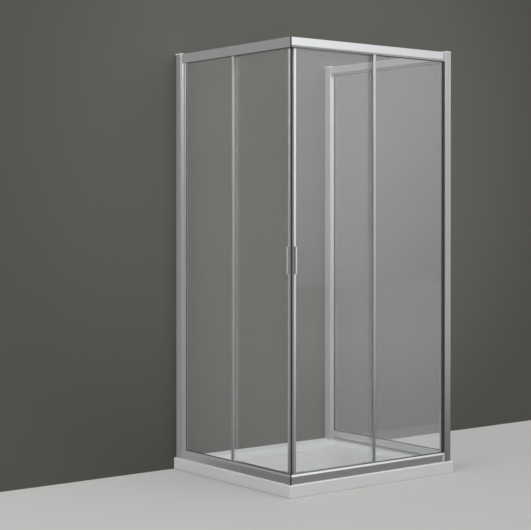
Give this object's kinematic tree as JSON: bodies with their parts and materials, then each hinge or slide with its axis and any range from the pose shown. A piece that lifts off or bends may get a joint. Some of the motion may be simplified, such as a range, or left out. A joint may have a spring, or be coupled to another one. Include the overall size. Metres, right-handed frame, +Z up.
{
  "type": "shower enclosure",
  "caption": "Corner-entry shower enclosure on a low white tray, sliding glass doors in satin aluminium rails.",
  "frame": {"origin": "middle of the tray's footprint, on the floor", "axes": "+Z up, +Y towards the room wall that the enclosure stands against, +X along that wall, from the sliding left side to the fixed side panel"},
  "size_m": [1, 0.9, 2.005],
  "materials": {
    "satin_aluminium": "satin anodised",
    "clear_glass": "clear",
    "dark_rubber": "matt extruded",
    "clear_seal_plastic": "translucent",
    "magnet_seal_plastic": "soft",
    "dark_moulded_plastic": "moulded",
    "grey_moulded_plastic": "moulded",
    "white_wheel_plastic": "moulded",
    "guide_plastic": "moulded",
    "stainless_screws": "plain",
    "hanger_steel": "pressed",
    "white_tray_resin": "satin gel coat",
    "waste_plastic": "moulded"
  },
  "bodies": {
    "frame": {"shower_tray": "white_tray_resin", "waste_body": "waste_plastic", "waste_nut": "waste_plastic", "waste_gasket": "dark_rubber", "wall_channel_left": "satin_aluminium", "wall_channel_side": "satin_aluminium", "wall_post_left": "satin_aluminium", "wall_post_side": "satin_aluminium", "corner_post": "satin_aluminium", "post_caps": "grey_moulded_plastic", "top_rail_left": "satin_aluminium", "top_rail_front": "satin_aluminium", "top_rail_side": "satin_aluminium", "bottom_rail_left": "satin_aluminium", "bottom_rail_front": "satin_aluminium", "bottom_rail_side": "satin_aluminium", "corner_connectors": "dark_moulded_plastic", "rail_end_connectors": "grey_moulded_plastic", "frame_screws": "stainless_screws", "fixed_glass_left": "clear_glass", "fixed_glass_front": "clear_glass", "side_glass": "clear_glass", "glazing_gaskets": "dark_rubber", "glazing_jamb_left": "satin_aluminium", "fixed_edge_profile_left": "satin_aluminium", "fixed_edge_profile_front": "satin_aluminium", "overlap_seals": "clear_seal_plastic", "stop_buffers": "dark_rubber"},
    "waste_cover": {"waste_cover": "white_tray_resin"},
    "left_door": {"left_door_glass": "clear_glass", "left_door_lead_stile": "satin_aluminium", "left_door_bars": "satin_aluminium", "left_door_magnetic_seal": "magnet_seal_plastic", "left_door_trailing_seal": "clear_seal_plastic", "left_door_handles": "satin_aluminium", "left_door_hangers": "hanger_steel", "left_door_guide_housings": "guide_plastic", "left_door_screws": "stainless_screws"},
    "left_door_wheel_lead": {"left_door_wheel_lead": "white_wheel_plastic"},
    "left_door_guide_shoe_lead": {"left_door_guide_shoe_lead": "guide_plastic"},
    "left_door_wheel_trail": {"left_door_wheel_trail": "white_wheel_plastic"},
    "left_door_guide_shoe_trail": {"left_door_guide_shoe_trail": "guide_plastic"},
    "front_door": {"front_door_glass": "clear_glass", "front_door_lead_stile": "satin_aluminium", "front_door_bars": "satin_aluminium", "front_door_magnetic_seal": "magnet_seal_plastic", "front_door_trailing_seal": "clear_seal_plastic", "front_door_handles": "satin_aluminium", "front_door_hangers": "hanger_steel", "front_door_guide_housings": "guide_plastic", "front_door_screws": "stainless_screws"},
    "front_door_wheel_lead": {"front_door_wheel_lead": "white_wheel_plastic"},
    "front_door_guide_shoe_lead": {"front_door_guide_shoe_lead": "guide_plastic"},
    "front_door_wheel_trail": {"front_door_wheel_trail": "white_wheel_plastic"},
    "front_door_guide_shoe_trail": {"front_door_guide_shoe_trail": "guide_plastic"}
  },
  "joints": [
    {"name": "front_door_slide", "type": "slide", "parent": "frame", "child": "front_door", "axis": [1, 0, 0], "range_m": [0, 0.426]},
    {"name": "left_door_slide", "type": "slide", "parent": "frame", "child": "left_door", "axis": [0, 1, 0], "range_m": [0, 0.376]},
    {"name": "waste_cover_lift", "type": "slide", "parent": "frame", "child": "waste_cover", "axis": [0, 0, 1], "range_m": [0, 0.06]},
    {"name": "front_door_wheel_lead_turn", "type": "hinge", "parent": "front_door", "child": "front_door_wheel_lead", "pos_m": [-0.406, -0.4175, 1.9848], "axis": [0, 1, 0], "range_deg": [0, 2600]},
    {"name": "front_door_guide_shoe_lead_press", "type": "slide", "parent": "front_door", "child": "front_door_guide_shoe_lead", "axis": [0, 0, -1], "range_m": [0, 0.004], "stiffness_N_per_m": 400},
    {"name": "front_door_wheel_trail_turn", "type": "hinge", "parent": "front_door", "child": "front_door_wheel_trail", "pos_m": [-0.046, -0.4175, 1.9848], "axis": [0, 1, 0], "range_deg": [0, 2600]},
    {"name": "front_door_guide_shoe_trail_press", "type": "slide", "parent": "front_door", "child": "front_door_guide_shoe_trail", "axis": [0, 0, -1], "range_m": [0, 0.004], "stiffness_N_per_m": 400},
    {"name": "left_door_wheel_lead_turn", "type": "hinge", "parent": "left_door", "child": "left_door_wheel_lead", "pos_m": [-0.4675, -0.356, 1.9848], "axis": [-1, 0, 0], "range_deg": [0, 2300]},
    {"name": "left_door_guide_shoe_lead_press", "type": "slide", "parent": "left_door", "child": "left_door_guide_shoe_lead", "axis": [0, 0, -1], "range_m": [0, 0.004], "stiffness_N_per_m": 400},
    {"name": "left_door_wheel_trail_turn", "type": "hinge", "parent": "left_door", "child": "left_door_wheel_trail", "pos_m": [-0.4675, -0.0565, 1.9848], "axis": [-1, 0, 0], "range_deg": [0, 2300]},
    {"name": "left_door_guide_shoe_trail_press", "type": "slide", "parent": "left_door", "child": "left_door_guide_shoe_trail", "axis": [0, 0, -1], "range_m": [0, 0.004], "stiffness_N_per_m": 400}
  ],
  "couplings": [
    {"joint": "front_door_wheel_lead_turn", "follows": "front_door_slide", "rad_per_m": 105.26},
    {"joint": "front_door_wheel_trail_turn", "follows": "front_door_slide", "rad_per_m": 105.26},
    {"joint": "left_door_wheel_lead_turn", "follows": "left_door_slide", "rad_per_m": 105.26},
    {"joint": "left_door_wheel_trail_turn", "follows": "left_door_slide", "rad_per_m": 105.26}
  ]
}
